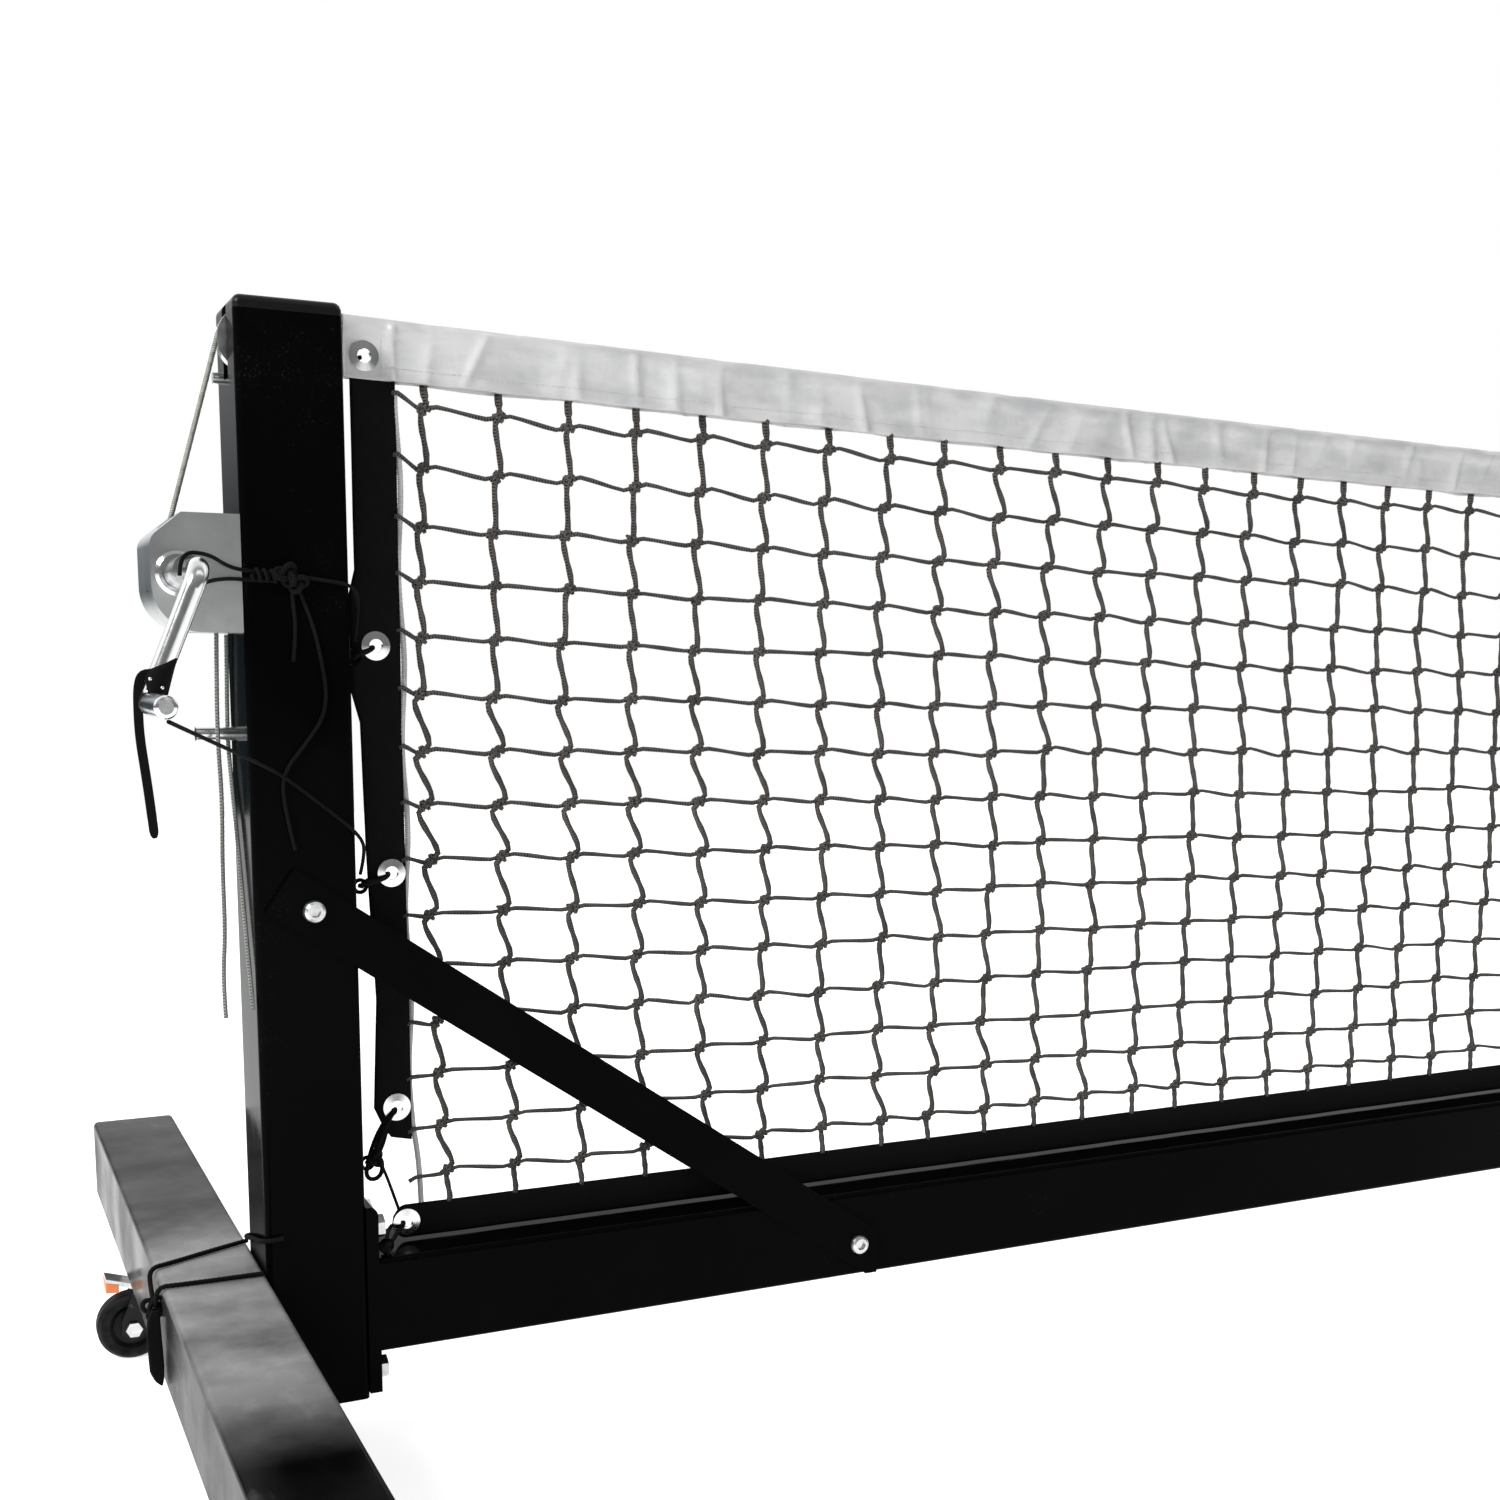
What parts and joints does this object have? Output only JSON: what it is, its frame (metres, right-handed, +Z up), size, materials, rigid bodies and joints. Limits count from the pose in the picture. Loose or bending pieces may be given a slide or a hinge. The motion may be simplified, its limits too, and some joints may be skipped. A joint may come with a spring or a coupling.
{
  "type": "portable pickleball net",
  "caption": "Rolling portable pickleball net on square steel posts, feet and ground beam, with a tensioning winch, white headband and knotted mesh",
  "frame": {"origin": "on the ground under the middle of the net", "axes": "+X along the net from the winch end to the anchor end, +Y across the net away from the crank, +Z up"},
  "size_m": [7.079, 1.006, 0.914],
  "materials": {
    "black_paint": "gloss black powder coat",
    "black_plastic": "moulded black plastic",
    "zinc_steel": "zinc plated steel",
    "fork_black": "black painted pressed steel",
    "hub_plastic": "black moulded plastic",
    "dark_rubber": "dark grey rubber",
    "orange_plastic": "orange moulded plastic",
    "pulley_steel": "turned steel",
    "winch_steel": "bright grey folded sheet steel",
    "polished_steel": "polished nickel-plated steel",
    "black_webbing": "woven black webbing",
    "cable_steel": "stranded galvanised cable",
    "white_vinyl": "coated white vinyl, slightly wrinkled",
    "net_twine": "braided dark twine, knotted",
    "black_cord": "braided black cord",
    "grey_rope": "greenish grey braided rope"
  },
  "bodies": {
    "root": {"left_post": "black_paint", "right_post": "black_paint", "left_foot": "black_paint", "right_foot": "black_paint", "left_beam": "black_paint", "right_beam": "black_paint", "beam_splice": "black_paint", "beam_flanges": "black_paint", "left_brace": "black_paint", "right_brace": "black_paint", "post_caps": "black_plastic", "foot_end_caps": "black_plastic", "frame_bolts": "zinc_steel", "brace_bolts": "zinc_steel", "caster_screws": "zinc_steel", "winch_screws": "zinc_steel", "cable_anchor": "zinc_steel", "pulley_axle": "zinc_steel", "caster_plates": "zinc_steel", "winch_base": "winch_steel", "winch_cover": "winch_steel", "winch_bushes": "polished_steel", "net_cable": "cable_steel", "headband": "white_vinyl", "side_straps": "black_webbing", "bottom_band": "black_webbing", "net_panel": "net_twine", "grommets": "polished_steel", "eye_hooks": "black_paint", "guide_pegs": "polished_steel", "lacing": "black_cord", "rope_tails": "grey_rope", "tie_cords": "black_cord", "foot_lashing": "black_cord"},
    "left_rear_caster": {"left_rear_fork": "fork_black", "left_rear_axle": "zinc_steel"},
    "left_rear_wheel": {"left_rear_hub": "hub_plastic", "left_rear_tyre": "dark_rubber"},
    "left_front_caster": {"left_front_fork": "fork_black", "left_front_axle": "zinc_steel"},
    "left_front_wheel": {"left_front_hub": "hub_plastic", "left_front_tyre": "dark_rubber"},
    "right_rear_caster": {"right_rear_fork": "fork_black", "right_rear_axle": "zinc_steel"},
    "right_rear_wheel": {"right_rear_hub": "hub_plastic", "right_rear_tyre": "dark_rubber"},
    "right_front_caster": {"right_front_fork": "fork_black", "right_front_axle": "zinc_steel"},
    "right_front_wheel": {"right_front_hub": "hub_plastic", "right_front_tyre": "dark_rubber"},
    "left_rear_brake": {"left_rear_pedal": "zinc_steel", "left_rear_pedal_pad": "orange_plastic"},
    "right_rear_brake": {"right_rear_pedal": "zinc_steel", "right_rear_pedal_pad": "orange_plastic"},
    "crank": {"winch_drum": "polished_steel", "crank_handle": "polished_steel", "crank_strap": "black_webbing"},
    "grip": {"crank_grip": "polished_steel"},
    "pulley": {"cable_pulley": "pulley_steel"},
    "pawl": {"winch_pawl": "winch_steel"}
  },
  "joints": [
    {"name": "left_rear_swivel", "type": "hinge", "parent": "root", "child": "left_rear_caster", "pos_m": [-3.473, 0.255, 0.07], "axis": [0, 0, 1], "continuous": true},
    {"name": "left_rear_roll", "type": "hinge", "parent": "left_rear_caster", "child": "left_rear_wheel", "pos_m": [-3.508, 0.255, 0.0315], "axis": [0, 1, 0], "continuous": true},
    {"name": "left_front_swivel", "type": "hinge", "parent": "root", "child": "left_front_caster", "pos_m": [-3.473, -0.255, 0.07], "axis": [0, 0, 1], "continuous": true},
    {"name": "left_front_roll", "type": "hinge", "parent": "left_front_caster", "child": "left_front_wheel", "pos_m": [-3.508, -0.255, 0.0315], "axis": [0, 1, 0], "continuous": true},
    {"name": "right_rear_swivel", "type": "hinge", "parent": "root", "child": "right_rear_caster", "pos_m": [3.473, 0.255, 0.07], "axis": [0, 0, 1], "continuous": true},
    {"name": "right_rear_roll", "type": "hinge", "parent": "right_rear_caster", "child": "right_rear_wheel", "pos_m": [3.508, 0.255, 0.0315], "axis": [0, 1, 0], "continuous": true},
    {"name": "right_front_swivel", "type": "hinge", "parent": "root", "child": "right_front_caster", "pos_m": [3.473, -0.255, 0.07], "axis": [0, 0, 1], "continuous": true},
    {"name": "right_front_roll", "type": "hinge", "parent": "right_front_caster", "child": "right_front_wheel", "pos_m": [3.508, -0.255, 0.0315], "axis": [0, 1, 0], "continuous": true},
    {"name": "left_rear_brake_press", "type": "hinge", "parent": "left_rear_caster", "child": "left_rear_brake", "pos_m": [-3.499, 0.255, 0.0685], "axis": [0, -1, 0], "range_deg": [0, 10]},
    {"name": "right_rear_brake_press", "type": "hinge", "parent": "right_rear_caster", "child": "right_rear_brake", "pos_m": [3.499, 0.255, 0.0685], "axis": [0, 1, 0], "range_deg": [0, 10]},
    {"name": "crank_turn", "type": "hinge", "parent": "root", "child": "crank", "pos_m": [-3.479, 0, 0.7113], "axis": [0, 1, 0], "continuous": true, "deforming": ["tie_cords"]},
    {"name": "grip_spin", "type": "hinge", "parent": "crank", "child": "grip", "pos_m": [-3.517, -0.1685, 0.619], "axis": [0, 1, 0], "continuous": true},
    {"name": "pulley_spin", "type": "hinge", "parent": "root", "child": "pulley", "pos_m": [-3.416, 0, 0.88688], "axis": [0, 1, 0], "continuous": true},
    {"name": "pawl_engage", "type": "hinge", "parent": "root", "child": "pawl", "pos_m": [-3.448, 0, 0.7323], "axis": [0, -1, 0], "range_deg": [0, 12]}
  ],
  "couplings": [
    {"joint": "pulley_spin", "follows": "crank_turn", "ratio": 0.45909}
  ]
}
